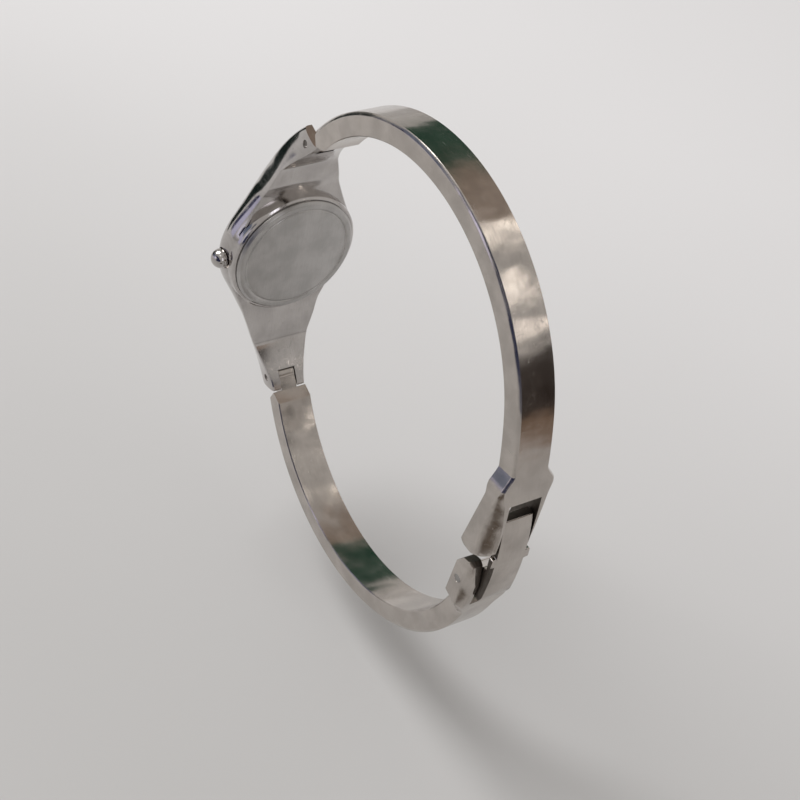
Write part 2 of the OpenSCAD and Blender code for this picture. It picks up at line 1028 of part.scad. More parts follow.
module circuit_board() {
    board_top = bridge_level + board_thickness;
    color(board_green)
        on_head() {
            layer(bridge_level, board_top)
                difference() {
                    intersection() {
                        circle(plate_radius - 2 * battery_gap);
                        translate([-far, board_edge - far])
                            square([2 * far, far]);
                    }
                    translate(bridge_place)
                        circle(bridge_radius + battery_gap);
                    translate(battery_place)
                        circle(battery_radius + battery_gap);
                }
            layer(board_top - overlap, board_top + chip_height)
                translate(chip_place)
                    square(chip_size);
        }
}

module quartz_can() {
    can_level = bridge_level + board_thickness + seat_gap + can_radius;
    color(steel_bright)
        on_head()
            translate([can_place[0], can_place[1], can_level])
                rotate([0, 90, 0])
                    cylinder(r = can_radius, h = can_length, $fn = wheel_facets);
}

// Drive coil drawn as one plain winding with its two end cheeks
module coil() {
    length = coil_ends[1] - coil_ends[0];
    color(copper)
        on_head()
            translate([coil_ends[0], coil_y, coil_level])
                rotate([0, 90, 0]) {
                    cylinder(r = coil_radius, h = length, $fn = wheel_facets);
                    cylinder(r = cheek_radius, h = cheek, $fn = wheel_facets);
                    translate([0, 0, length - cheek])
                        cylinder(r = cheek_radius, h = cheek, $fn = wheel_facets);
                }
}

// Soft-iron plate that carries the field from the coil round the rotor
module stator() {
    color(steel_dark)
        on_head()
            layer(stator_level, stator_level + stator_thickness)
                difference() {
                    union() {
                        translate(rotor_place)
                            circle(stator_ring_radius);
                        polygon([
                            rotor_place + [-0.9, 0.4],
                            rotor_place + [0, 1],
                            [coil_ends[0] - 0.05, coil_y + 0.4],
                            [coil_ends[0] - 0.85, coil_y + 0.1],
                            [coil_ends[0] - 0.4, coil_y - 0.6]
                        ]);
                        polygon([
                            rotor_place + [0.2, 1],
                            rotor_place + [1, 0.2],
                            [coil_ends[1] + 0.5, coil_y - 0.5],
                            [coil_ends[1] + 0.05, coil_y + 0.4]
                        ]);
                    }
                    translate(rotor_place)
                        circle(stator_bore_radius);
                    translate([coil_ends[0] - seat_gap, coil_y - 0.5])
                        square([coil_ends[1] - coil_ends[0] + 2 * seat_gap, 1]);
                }
}

module battery() {
    color(steel_bright)
        on_head()
            translate([battery_place[0], battery_place[1], movement_floor]) {
                cylinder(r = battery_radius - battery_step[0], h = battery_height);
                translate([0, 0, battery_step[1]])
                    cylinder(r = battery_radius, h = battery_height - battery_step[1]);
            }
}

module battery_clamp() {
    color(steel)
        on_head()
            layer(movement_floor - seat_gap - clamp_thickness, movement_floor - seat_gap)
                polygon(concat(clamp_foot, [for (point = clamp_head) battery_place + point]));
}

// Lavet-type rotor: magnet, pinion and arbor
module rotor() {
    color(steel_dark)
        on_head()
            translate(rotor_place) {
                arbor();
                shaft(magnet_level, magnet_level + magnet_height, magnet_radius);
                gear(6, rotor_module, rotor_pinion_level, pinion_height);
            }
}

module fifth_wheel() {
    color(brass)
        on_head()
            translate(fifth_place) {
                arbor();
                gear(36, rotor_module, fifth_wheel_level, wheel_thickness,
                    mesh_turn(36, 6, bearing(rotor_place, fifth_place)));
                gear(6, fast_module, fifth_pinion_level, pinion_height);
            }
}

// Seconds wheel on the long centre arbor that carries the second hand
module seconds_wheel() {
    color(brass)
        on_head() {
            shaft(bridge_level + play, second_hand_level + hand_thickness, seconds_arbor_radius);
            gear(30, fast_module, seconds_wheel_level, wheel_thickness,
                mesh_turn(30, 6, bearing(fifth_place, [0, 0])));
            gear(8, third_module, seconds_pinion_level, pinion_height);
        }
}

module third_wheel() {
    color(brass)
        on_head()
            translate(third_place) {
                arbor();
                gear(60, third_module, third_wheel_level, wheel_thickness,
                    mesh_turn(60, 8, bearing([0, 0], third_place)));
                gear(8, centre_module, third_pinion_level, pinion_height);
            }
}

// Centre wheel on a tube that turns round the seconds arbor
module centre_wheel() {
    color(brass)
        on_head()
            difference() {
                union() {
                    gear(64, centre_module, centre_wheel_level, wheel_thickness,
                        mesh_turn(64, 8, bearing(third_place, [0, 0])));
                    shaft(centre_wheel_level - 0.02, plate_top, centre_tube_radius);
                }
                shaft(plate_level - 1, plate_top + 1, centre_bore_radius);
            }
}

// Cannon pinion: slips on the centre wheel's tube when the hands are set
module cannon_pinion() {
    color(steel_bright)
        on_head()
            difference() {
                union() {
                    gear(10, motion_module, cannon_level, pinion_height - 0.02);
                    shaft(cannon_level, minute_hand_level + hand_thickness, cannon_radius);
                }
                shaft(plate_pocket - 1, plate_top + slip, centre_tube_radius + play);
                shaft(plate_pocket, minute_hand_level + 1, centre_bore_radius);
            }
}

module minute_wheel() {
    color(brass)
        on_head()
            translate(minute_place)
                difference() {
                    union() {
                        gear(30, motion_module, plate_pocket + slip, wheel_thickness + 0.01,
                            mesh_turn(30, 10, bearing([0, 0], minute_place)));
                        gear(8, motion_module, minute_pinion_level - overlap, pinion_height + 0.05);
                    }
                    shaft(plate_pocket - 1, plate_top + 1, minute_post_radius + play);
                }
}

module hour_wheel() {
    color(brass)
        on_head()
            difference() {
                union() {
                    gear(32, motion_module, hour_wheel_level, wheel_thickness + 0.03,
                        mesh_turn(32, 8, bearing(minute_place, [0, 0])));
                    shaft(hour_wheel_level, hour_hand_level + hand_thickness, hour_pipe_radius);
                }
                shaft(plate_pocket - 1, hour_hand_level + 1, cannon_radius + play);
            }
}

// A tapered hand with a short tail, on a hole for its post; clockwise from 12
module hand(length, width, tail, post_radius, level, clockwise) {
    color(steel_bright)
        on_head()
            rotate([0, 0, -clockwise])
                layer(level, level + hand_thickness)
                    difference() {
                        union() {
                            polygon([
                                [-tail, -width * 0.35],
                                [length * 0.45, -width / 2],
                                [length, 0],
                                [length * 0.45, width / 2],
                                [-tail, width * 0.35]
                            ]);
                            circle(post_radius + hand_boss);
                        }
                        circle(post_radius);
                    }
}

module hour_hand() {
    hand(hour_hand_length, width = 0.6, tail = 1, post_radius = hour_pipe_radius,
        level = hour_hand_level, clockwise = 305);
}

module minute_hand() {
    hand(minute_hand_length, width = 0.46, tail = 1.2, post_radius = cannon_radius,
        level = minute_hand_level, clockwise = 60);
}

module second_hand() {
    hand(second_hand_length, width = 0.16, tail = 1.7, post_radius = seconds_arbor_radius,
        level = second_hand_level, clockwise = 210);
}

// Crown and stem

// Winding stem with the groove that the setting lever sits in
module stem() {
    neck_radius = stem_radius - groove_depth;
    color(steel)
        on_head()
            on_stem()
                difference() {
                    translate([0, 0, stem_end])
                        cylinder(r = stem_radius, h = crown_centre - stem_end, $fn = wheel_facets);
                    translate([0, 0, groove_start])
                        difference() {
                            cylinder(r = 2 * stem_radius, h = groove_width, $fn = wheel_facets);
                            cylinder(r = neck_radius, h = groove_width, $fn = wheel_facets);
                        }
                }
}

// Ball-shaped crown with a flat inner face
module crown() {
    color(steel_bright)
        on_head()
            on_stem()
                difference() {
                    translate([0, 0, crown_centre])
                        sphere(crown_radius);
                    cylinder(r = crown_diameter, h = crown_inner_face);
                    cylinder(r = stem_radius, h = crown_centre + overlap, $fn = wheel_facets);
                }
}

module crown_gasket() {
    color(rubber_black)
        on_head()
            on_stem(tube_start + seat_gap)
                difference() {
                    cylinder(r = tube_bore_radius - seat_gap, h = crown_gasket_length, $fn = wheel_facets);
                    translate([0, 0, -overlap])
                        cylinder(r = stem_radius + seat_gap, h = far, $fn = wheel_facets);
                }
}

// Setting lever over the stem, with its pin in the stem's groove
module setting_lever() {
    yoke_level = crown_level + stem_radius + seat_gap;
    groove_middle = groove_start + groove_width / 2;
    color(steel_dark)
        on_head() {
            translate([-yoke_pin[0], -groove_start - groove_width, yoke_level])
                cube(yoke);
            translate([-yoke_pin[0] / 2, -groove_middle - yoke_pin[1] / 2, yoke_level - groove_depth])
                cube([yoke_pin[0], yoke_pin[1], groove_depth + overlap]);
        }
}

// Drawing of every part

case_middle();
case_back();
case_back_gasket();
crystal();
crystal_gasket();
crown_tube();
dial();
hour_markers();
movement_holder();
main_plate();
train_bridge();
bridge_screws();
circuit_board();
quartz_can();
coil();
stator();
battery();
battery_clamp();
rotor();
fifth_wheel();
seconds_wheel();
third_wheel();
centre_wheel();
cannon_pinion();
minute_wheel();
hour_wheel();
hour_hand();
minute_hand();
second_hand();
stem();
crown();
crown_gasket();
setting_lever();
upper_bangle();
upper_lug_pin();
lower_bangle();
lower_lug_pin();
clasp_lever();
clasp_pivot_pin();
clasp_catch_pin();
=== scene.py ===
"""Ladies' quartz wristwatch on a rigid hinged bangle: finishes, rounded edges and studio."""
import math
import bmesh
import bpy
from mathutils import Matrix, Vector


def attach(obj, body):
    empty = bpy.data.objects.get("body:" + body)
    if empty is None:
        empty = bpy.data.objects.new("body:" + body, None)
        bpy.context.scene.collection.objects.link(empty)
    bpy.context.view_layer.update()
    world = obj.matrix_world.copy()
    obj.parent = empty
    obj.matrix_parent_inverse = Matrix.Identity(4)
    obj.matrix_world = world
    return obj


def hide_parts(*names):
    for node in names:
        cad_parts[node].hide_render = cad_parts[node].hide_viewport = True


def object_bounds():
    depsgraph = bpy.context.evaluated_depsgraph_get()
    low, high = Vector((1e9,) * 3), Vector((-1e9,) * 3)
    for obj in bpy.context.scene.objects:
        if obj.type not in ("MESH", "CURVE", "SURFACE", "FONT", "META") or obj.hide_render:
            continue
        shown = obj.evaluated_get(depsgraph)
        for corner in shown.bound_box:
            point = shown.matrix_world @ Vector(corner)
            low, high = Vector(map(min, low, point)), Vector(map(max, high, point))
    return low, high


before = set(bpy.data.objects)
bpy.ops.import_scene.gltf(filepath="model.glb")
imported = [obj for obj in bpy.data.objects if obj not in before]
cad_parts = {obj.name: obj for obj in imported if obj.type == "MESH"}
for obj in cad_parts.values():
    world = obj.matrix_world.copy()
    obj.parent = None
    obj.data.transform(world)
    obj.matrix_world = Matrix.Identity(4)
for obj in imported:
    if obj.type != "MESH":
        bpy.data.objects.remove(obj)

MM = 0.001
cad_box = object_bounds()


class Socket:
    """A node's output, on which arithmetic adds Math nodes."""

    def __init__(self, finish, output):
        self.finish = finish
        self.output = output

    def math(self, operation, *values):
        return self.finish.node("ShaderNodeMath", {"operation": operation}, dict(enumerate(values)))

    def __add__(self, other):
        return self.math("ADD", self, other)

    def __sub__(self, other):
        return self.math("SUBTRACT", self, other)

    def __mul__(self, other):
        return self.math("MULTIPLY", self, other)

    def __rsub__(self, other):
        return self.math("SUBTRACT", other, self)

    __radd__ = __add__
    __rmul__ = __mul__

    def between(self, low, high):
        """0 below low, 1 above high and smooth between them; reversed when low is the larger."""
        return self.finish.node(
            "ShaderNodeMapRange",
            {"interpolation_type": "SMOOTHSTEP"},
            {"Value": self, "From Min": low, "From Max": high},
        )


class Finish:
    """One material, with the nodes that vary it over the surface."""

    def __init__(self, name, **fixed):
        self.material = bpy.data.materials.new(name)
        self.material.use_nodes = True
        self.tree = self.material.node_tree
        self.shader = self.tree.nodes["Principled BSDF"]
        for socket, value in fixed.items():
            self.shader.inputs[socket.replace("_", " ")].default_value = value

    def node(self, kind, settings, inputs, output=0):
        made = self.tree.nodes.new(kind)
        for key, value in settings.items():
            setattr(made, key, value)
        for key, value in inputs.items():
            if isinstance(value, Socket):
                self.tree.links.new(value.output, made.inputs[key])
            else:
                made.inputs[key].default_value = value
        return Socket(self, made.outputs[output])

    def feed(self, **links):
        for name, value in links.items():
            self.tree.links.new(value.output, self.shader.inputs[name.replace("_", " ")])
        return self.material

    def place(self, scale=(1, 1, 1), turn=(0, 0, 0)):
        """The surface point in millimetres, stretched and turned for a pattern."""
        point = self.node("ShaderNodeTexCoord", {}, {}, "Object")
        return self.node(
            "ShaderNodeMapping", {},
            {"Vector": point, "Scale": [1 / MM * value for value in scale], "Rotation": turn},
        )

    def noise(self, scale, detail=2, vector=None, roughness=0.5):
        """Soft clouds with so many to the millimetre, from 0 to 1."""
        return self.node(
            "ShaderNodeTexNoise", {},
            {"Vector": vector or self.place(), "Scale": scale, "Detail": detail, "Roughness": roughness},
        )

    def scratches(self, width, spacing, turn):
        """Fine straight marks along one direction: 1 on a mark, 0 off it."""
        cells = self.node(
            "ShaderNodeTexVoronoi", {"feature": "DISTANCE_TO_EDGE"},
            {"Vector": self.place((spacing * 0.06, spacing, spacing), turn), "Scale": 1.0},
        )
        return cells.between(width, 0)

    def mix(self, factor, first, second):
        """Colour between two colours; on this node socket 6 is A, 7 is B and output 2 is the colour."""
        return self.node("ShaderNodeMix", {"data_type": "RGBA"}, {0: factor, 6: first, 7: second}, 2)

    def bump(self, height, distance, **under):
        """Relief of a depth in millimetres, over the normal of another relief where one is given."""
        inputs = {"Height": height, "Distance": distance * MM, "Strength": 1.0}
        inputs.update(under)
        return self.node("ShaderNodeBump", {}, inputs)


def rgb(red, green, blue):
    return (red, green, blue, 1)


def shaded(colour, share):
    """A colour made darker, or lighter with a share above 1."""
    return rgb(*[min(1, value * share) for value in colour[:3]])


BRUSHED_DIRT = rgb(0.30, 0.27, 0.245)
STAIN = rgb(0.27, 0.235, 0.205)


def steel(name, colour, rough, grain, wear, wave=0.0):
    """Stainless steel: fine brush lines round the wrist, scratches, pits, stains and a wavy face."""
    finish = Finish(name, Metallic=1.0)
    lines = finish.noise(1.0, 3, finish.place((0.5, 11, 0.5)), 0.75)
    cloud = finish.noise(0.35, 3)
    spots = finish.noise(2.6, 4)
    pits = finish.noise(1.9, 2).between(0.68, 0.76)
    long_marks = finish.scratches(0.02, 1.3, (0.3, 0.5, 0.2))
    long_patches = finish.noise(0.8).between(0.5, 0.62)
    cross_marks = finish.scratches(0.015, 0.9, (1.1, 0.2, 1.9))
    cross_patches = finish.noise(0.6, vector=finish.place(turn=(1, 0, 0))).between(0.52, 0.64)
    worn = long_marks * long_patches + cross_marks * cross_patches
    base = finish.mix(cloud.between(0.3, 0.7), shaded(colour, 0.84), shaded(colour, 1.06))
    base = finish.mix((lines - 0.5) * 0.5 + 0.2, base, BRUSHED_DIRT)
    base = finish.mix(spots.between(0.62, 0.82) * 0.35, base, STAIN)
    roughness = rough + (lines - 0.5) * grain + (cloud - 0.5) * 0.12 + worn * wear
    height = lines * 1.5 * grain - worn * 0.25 + spots * 0.12 - pits * 0.5
    under = {}
    if wave:
        swell = finish.noise(0.24, 1.5, finish.place((1, 0.6, 1)))
        under["Normal"] = finish.bump(swell, wave)
    fine = finish.bump(height, 0.006, **under)
    return finish.feed(Base_Color=base, Roughness=roughness, Normal=fine)


def plain(name, colour, rough, speckle, metal=0.0, **fixed):
    """A painted, moulded or plated finish with faint colour and gloss changes."""
    finish = Finish(name, Metallic=metal, **fixed)
    cloud = finish.noise(3.0, 4)
    fine = finish.noise(18.0, 2)
    base = finish.mix(cloud.between(0.3, 0.7), shaded(colour, 1 - speckle), shaded(colour, 1 + speckle))
    roughness = rough + (fine - 0.5) * speckle
    return finish.feed(Base_Color=base, Roughness=roughness, Normal=finish.bump(fine, 0.004))


BAND = steel("band_steel", rgb(0.60, 0.555, 0.515), 0.21, 0.14, 0.05, 0.26)
CASE = steel("case_steel", rgb(0.60, 0.575, 0.56), 0.12, 0.03, 0.10, 0.03)
BACK = steel("back_steel", rgb(0.55, 0.54, 0.53), 0.34, 0.06, 0.12)
DARK = steel("pin_steel", rgb(0.40, 0.39, 0.38), 0.35, 0.05, 0.10)
# Near-black steel that paints shade into the clasp slots, onto the top of the lower prong in the gap and
# onto the lever's flanks
PAINTED_SHADE_STEEL = steel("painted_shade_steel", rgb(0.055, 0.045, 0.036), 0.45, 0.06, 0.10)
HANDS = steel("hand_steel", rgb(0.13, 0.13, 0.15), 0.25, 0.05, 0.05)
BRASS = plain("rhodium_brass", (0.80, 0.68, 0.42), 0.3, 0.06, 1.0)
COPPER = plain("winding_copper", (0.66, 0.30, 0.16), 0.4, 0.10, 1.0)
HOLDER = plain("holder_plastic", (0.50, 0.50, 0.51), 0.55, 0.06)
RUBBER = plain("gasket_rubber", (0.03, 0.03, 0.03), 0.7, 0.10)
BOARD = plain("board_lacquer", (0.05, 0.20, 0.11), 0.4, 0.10)
DIAL = plain("dial_lacquer", (0.86, 0.86, 0.84), 0.35, 0.02)
GLASS = plain("watch_glass", (0.97, 0.98, 0.98), 0.03, 0.01, Transmission_Weight=1.0, IOR=1.5)

NODE_FINISH = {
    "case_middle": CASE, "case_back": BACK, "case_back_gasket": RUBBER, "crystal": GLASS,
    "crystal_gasket": HOLDER, "crown_tube": DARK, "dial": DIAL, "hour_markers": HANDS,
    "movement_holder": HOLDER, "main_plate": BRASS, "train_bridge": BRASS, "bridge_screws": DARK,
    "circuit_board": BOARD, "quartz_can": CASE, "coil": COPPER, "stator": DARK, "battery": CASE,
    "battery_clamp": BACK, "rotor": DARK, "fifth_wheel": BRASS, "seconds_wheel": BRASS,
    "third_wheel": BRASS, "centre_wheel": BRASS, "cannon_pinion": CASE, "minute_wheel": BRASS,
    "hour_wheel": BRASS, "hour_hand": HANDS, "minute_hand": HANDS, "second_hand": HANDS, "stem": BACK,
    "crown": CASE, "crown_gasket": RUBBER, "setting_lever": DARK, "upper_bangle": BAND,
    "upper_lug_pin": DARK, "lower_bangle": BAND, "lower_lug_pin": DARK, "clasp_lever": BAND,
    "clasp_pivot_pin": DARK, "clasp_catch_pin": DARK,
}


def finish_nodes():
    for name, material in NODE_FINISH.items():
        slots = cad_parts[name].data.materials
        slots.clear()
        slots.append(material)


def paint_lever_shade(mesh):
    """Paints shade onto the lever: its flanks and the hidden faces of its hook take the near-black steel
    of the painted shade.
    """
    hook_start = 22.8 * MM
    mesh.materials.append(PAINTED_SHADE_STEEL)
    for face in mesh.polygons:
        flank = abs(face.normal.y) > 0.8
        hidden = face.center.z > 0 and (face.normal.z > 0.93 or face.center.x < hook_start)
        if flank or hidden:
            face.material_index = 1


def round_edges(node, body, width):
    """A copy of a CAD node with its faces merged and its sharp edges rounded."""
    same_plane = math.radians(0.8)
    sharp = math.radians(24)
    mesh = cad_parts[node].data.copy()
    form = bmesh.new()
    form.from_mesh(mesh)
    bmesh.ops.remove_doubles(form, verts=form.verts, dist=0.001 * MM)
    bmesh.ops.dissolve_limit(form, angle_limit=same_plane, verts=form.verts, edges=form.edges)
    edges = [
        edge for edge in form.edges
        if len(edge.link_faces) == 2 and edge.calc_face_angle(0) > sharp
    ]
    bmesh.ops.bevel(
        form, geom=edges, offset=width * MM, offset_type="OFFSET", segments=3, profile=0.5,
        affect="EDGES", material=-1, clamp_overlap=False, loop_slide=True,
    )
    for face in form.faces:
        face.smooth = True
    form.to_mesh(mesh)
    form.free()
    piece = bpy.data.objects.new(node + "_rounded", mesh)
    bpy.context.scene.collection.objects.link(piece)
    mesh.materials.clear()
    mesh.materials.append(NODE_FINISH[node])
    # Painted shade on the lever's flanks and on the faces of its hook
    if node == "clasp_lever":
        paint_lever_shade(mesh)
    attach(piece, body)
    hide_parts(node)


def along(table, place):
    """Smooth curve through a table of (place, value) rows."""
    index = max(1, min(len(table) - 1, sum(row[0] <= place for row in table)))
    (x0, y0), (x1, y1) = table[index - 1], table[index]
    before = table[max(0, index - 2)]
    after = table[min(len(table) - 1, index + 1)]
    step = x1 - x0
    slope0 = (y1 - before[1]) / (x1 - before[0]) * step
    slope1 = (after[1] - y0) / (after[0] - x0) * step
    t = (place - x0) / step
    return (y0 * (1 + 2 * t) * (1 - t) ** 2 + slope0 * t * (1 - t) ** 2
            + y1 * t * t * (3 - 2 * t) - slope1 * t * t * (1 - t))


# Case drawing in millimetres: u towards 12 o'clock, w from the bangle's centre out through the dial
CASE_FLOOR, CASE_RIM, CROWN_LEVEL = 23.3, 27.2, 25.45
# Where the front starts to curve down to the ears, and the radius of that curve
FRONT_FLAT, FRONT_RADIUS, FRONT_LIFT = 8, 16.1, 0.05
# Half widths of the case along u, at its front and at its back, and the level of its underside
LUG_FRONT = [
    (0, 8.2), (1.5, 8.06), (3, 7.64), (4, 7.2), (5, 6.63), (6, 6.06), (7.5, 5.24), (9, 4.43),
    (10.5, 3.82), (12, 3.27), (13.5, 2.9), (15, 2.57), (16.5, 2.28), (17.8, 2.12), (19.6, 2.05),
]
LUG_BACK = [
    (0, 8.25), (1.5, 8.12), (3, 7.75), (4.5, 7.1), (6, 6.45), (7.5, 5.84), (9, 5.24), (10.5, 4.74),
    (12, 4.26), (13.5, 3.74), (15, 3.2), (16.5, 2.65), (17.8, 2.3), (19.6, 2.26),
]
LUG_UNDER = [
    (0, 24.15), (8.6, 24.15), (9.6, 23.95), (10.6, 23.65), (12, 23.4), (13.3, 23.1), (15.2, 21.9),
    (17.3, 20.24), (18.4, 19.5), (18.6, 19.5),
]
# Share of the way from back to front, with how far the side stands out there
SIDE_STEPS = [
    (0, -0.14), (0.03, -0.03), (0.1, 0.01), (0.24, 0.01), (0.4, 0.01), (0.56, 0.01), (0.72, 0.01),
    (0.86, -0.01), (0.94, -0.06), (0.98, -0.16), (1, -0.34),
]


def front_level(u):
    """Level of the case's front, flat round the glass and then curving down to the ears."""
    if u < FRONT_FLAT:
        return CASE_RIM + FRONT_LIFT
    return CASE_RIM - FRONT_RADIUS + math.sqrt(FRONT_RADIUS ** 2 - (u - FRONT_FLAT) ** 2) + FRONT_LIFT


def case_section(reach):
    """Outline across the case at a distance from its middle; the sections lean out towards the ears."""
    under_u = min(reach, LUG_UNDER[-1][0])
    over_u = reach + max(0, reach - 14) * 0.04
    under = along(LUG_UNDER, under_u)
    over = front_level(over_u)
    swell = 0.26 * max(0, 1 - reach / 9) ** 0.5 + 0.16
    side = []
    for t, inset in SIDE_STEPS:
        width = along(LUG_BACK, reach) * (1 - t) + along(LUG_FRONT, reach) * t
        width = width + inset + swell * 4 * t * (1 - t) - swell * 0.12
        side.append((under_u + (over_u - under_u) * t, width, under + (over - under) * t))
    return side


def ring_place(point, turn, side):
    """A point of the case drawing, on the watch: turn 1 is towards 12 o'clock, side -1 is the crown's."""
    u, v, w = point
    return Vector((-w, v * side, u * turn)) * MM


def spun(profile):
    """A closed solid turned round the head's axis from (radius, level) corners."""
    form = bmesh.new()
    corners = [form.verts.new((-level * MM, radius * MM, 0)) for radius, level in profile]
    edges = [form.edges.new(pair) for pair in zip(corners, corners[1:])]
    bmesh.ops.spin(
        form, geom=corners + edges, cent=(0, 0, 0), axis=(1, 0, 0), angle=math.tau,
        steps=144, use_merge=True, use_duplicate=False,
    )
    bmesh.ops.remove_doubles(form, verts=form.verts, dist=0.001 * MM)
    bmesh.ops.recalc_face_normals(form, faces=form.faces)
    return form


def rod(start, end, radius):
    """A closed cylinder between two points of the bangle, in millimetres."""
    form = bmesh.new()
    line = Vector(end) - Vector(start)
    bmesh.ops.create_cone(
        form, cap_ends=True, segments=48, radius1=radius * MM, radius2=radius * MM, depth=line.length * MM,
    )
    turn = line.to_track_quat("Z", "Y").to_matrix().to_4x4()
    middle = (Vector(start) + Vector(end)) / 2 * MM
    bmesh.ops.transform(form, matrix=Matrix.Translation(middle) @ turn, verts=form.verts)
    return form


def block(low, high):
    """A closed box between two corners, in millimetres."""
    form = bmesh.new()
    bmesh.ops.create_cube(form, size=1)
    size = [(b - a) * MM for a, b in zip(low, high)]
    middle = [(a + b) / 2 * MM for a, b in zip(low, high)]
    placed = Matrix.Translation(middle) @ Matrix.Diagonal((*size, 1))
    bmesh.ops.transform(form, matrix=placed, verts=form.verts)
    return form


def as_object(form, name):
    mesh = bpy.data.meshes.new(name)
    form.to_mesh(mesh)
    form.free()
    made = bpy.data.objects.new(name, mesh)
    bpy.context.scene.collection.objects.link(made)
    return made


def add_bevel(blank, width):
    """Rounds the sharp edges that the steps before it leave."""
    bevel = blank.modifiers.new("edge", "BEVEL")
    bevel.width = width * MM
    bevel.segments = 2
    bevel.limit_method = "ANGLE"
    bevel.angle_limit = math.radians(50)
    bevel.use_clamp_overlap = False


def carve(blank, steps, sharp=30):
    """Takes a blank through its steps, each an operation with a form or a width, and keeps the result.

    The faces are shaded smooth, except across edges sharper than so many degrees.
    """
    for operation, tool in steps:
        if operation == "ROUND":
            add_bevel(blank, tool)
        else:
            cut = blank.modifiers.new("cut", "BOOLEAN")
            cut.operation = operation
            cut.solver = "EXACT"
            cut.object = as_object(tool, "tool")
    graph = bpy.context.evaluated_depsgraph_get()
    shaped = bpy.data.meshes.new_from_object(blank.evaluated_get(graph))
    for modifier in list(blank.modifiers):
        tool = getattr(modifier, "object", None)
        blank.modifiers.remove(modifier)
        if tool:
            bpy.data.objects.remove(tool)
    form = bmesh.new()
    form.from_mesh(shaped)
    bmesh.ops.remove_doubles(form, verts=form.verts, dist=0.002 * MM)
    bmesh.ops.holes_fill(form, edges=[edge for edge in form.edges if edge.is_boundary], sides=0)
    bmesh.ops.recalc_face_normals(form, faces=form.faces)
    form.to_mesh(shaped)
    form.free()
    for face in shaped.polygons:
        face.use_smooth = True
    shaped.set_sharp_from_angle(angle=math.radians(sharp))
    shaped.name = blank.name
    blank.data = shaped
    flat = blank.modifiers.new("flat_faces", "WEIGHTED_NORMAL")
    flat.keep_sharp = True


def loft(rings):
    """A closed skin over a row of rings, which all have the same number of points."""
    form = bmesh.new()
    ring = bmesh.ops.create_circle(form, segments=len(rings[0]), radius=1)["verts"]
    for number, places in enumerate(rings):
        if number:
            held = set(ring)
            rim = [edge for vert in ring for edge in vert.link_edges if edge.other_vert(vert) in held]
            grown = bmesh.ops.extrude_edge_only(form, edges=list(dict.fromkeys(rim)))["geom"]
            fresh = [item for item in grown if isinstance(item, bmesh.types.BMVert)]
            ring = [min(fresh, key=lambda vert: (vert.co - old.co).length) for old in ring]
        for vert, place in zip(ring, places):
            vert.co = place
    bmesh.ops.holes_fill(form, edges=form.edges, sides=0)
    bmesh.ops.recalc_face_normals(form, faces=form.faces)
    return form


def plate(outline, width):
    """A closed flat piece from a drawing in X and Z, in millimetres, centred on the middle plane."""
    form = bmesh.new()
    corners = [form.verts.new((x * MM, -width / 2 * MM, z * MM)) for x, z in outline]
    face = form.faces.new(corners)
    grown = bmesh.ops.extrude_face_region(form, geom=[face])["geom"]
    moved = [item for item in grown if isinstance(item, bmesh.types.BMVert)]
    bmesh.ops.translate(form, verts=moved, vec=(0, width * MM, 0))
    bmesh.ops.recalc_face_normals(form, faces=form.faces)
    return form


# Bangle drawing in millimetres, as seen along the wrist with the clasp on the right
BEND_RADIUS, BEND_Z, SIDE_RADIUS, SIDE_X = 23.795, 7.7, 50.0, -25.043
JOIN_ANGLE, BAND_END_ANGLE = 17.09, 151.9
BAND_HALF, BLOCK_HALF, BAND_THICKNESS, FACE = 2.3, 3.45, 2.6, 24.957
# The outer edges fall off by a depth over a run; they are part round, part flat
EDGE_DEPTH, EDGE_RUN, CORNER_ROUND, CORNER_STEPS = 0.42, 0.28, 0.35, 6
INNER_BEVEL = 0.1
# Hinge pin in X and Z, its bores and the knuckle round it
PIN = (-21.4, 17.8)
EAR_BORE, KNUCKLE_BORE, KNUCKLE_RADIUS, KNUCKLE_HALF = 0.46, 0.5, 1.1, 1.05
# Clasp slot and the bores of both clasp pins
SLOT_HALF, CLASP_BORE = 2, 0.5
# Rows of (height, value) for the half width and the edges; inner is where the block's flat inside lies and
# how it leans, as reach and slope
UPPER_BLOCK = {
    "half": [(-6, BLOCK_HALF), (6.7, BLOCK_HALF), (8.35, BAND_HALF), (30, BAND_HALF)],
    "depth": [
        (-6, 2.2), (-0.3, 2.2), (2.1, 1.9), (4.9, 0.95),
        (6.7, EDGE_DEPTH), (8.35, EDGE_DEPTH), (30, EDGE_DEPTH),
    ],
    "run": [
        (-6, 1.4), (-1, 1.35), (2, 1.1), (4.9, 0.75),
        (6.7, EDGE_RUN), (8.35, EDGE_RUN), (30, EDGE_RUN),
    ],
    "inner": (46.272, 0.17626),
}
LOWER_BLOCK = {
    "half": [(-30, BAND_HALF), (-14.4, BAND_HALF), (-12.6, BLOCK_HALF), (6, BLOCK_HALF)],
    "depth": [(-30, EDGE_DEPTH), (-14.4, EDGE_DEPTH), (-12.6, 0.9), (-10, 1.9), (6, 2.0)],
    "run": [(-30, EDGE_RUN), (-14.4, EDGE_RUN), (-12.6, 0.6), (-10, 1.2), (6, 1.3)],
    "inner": (46.603, 0.08523),
}


def between_rows(table, place):
    """Straight run between the rows of a (place, value) table."""
    for (x0, y0), (x1, y1) in zip(table, table[1:]):
        if place <= x1:
            break
    share = min(1, max(0, (place - x0) / (x1 - x0)))
    return y0 + (y1 - y0) * share


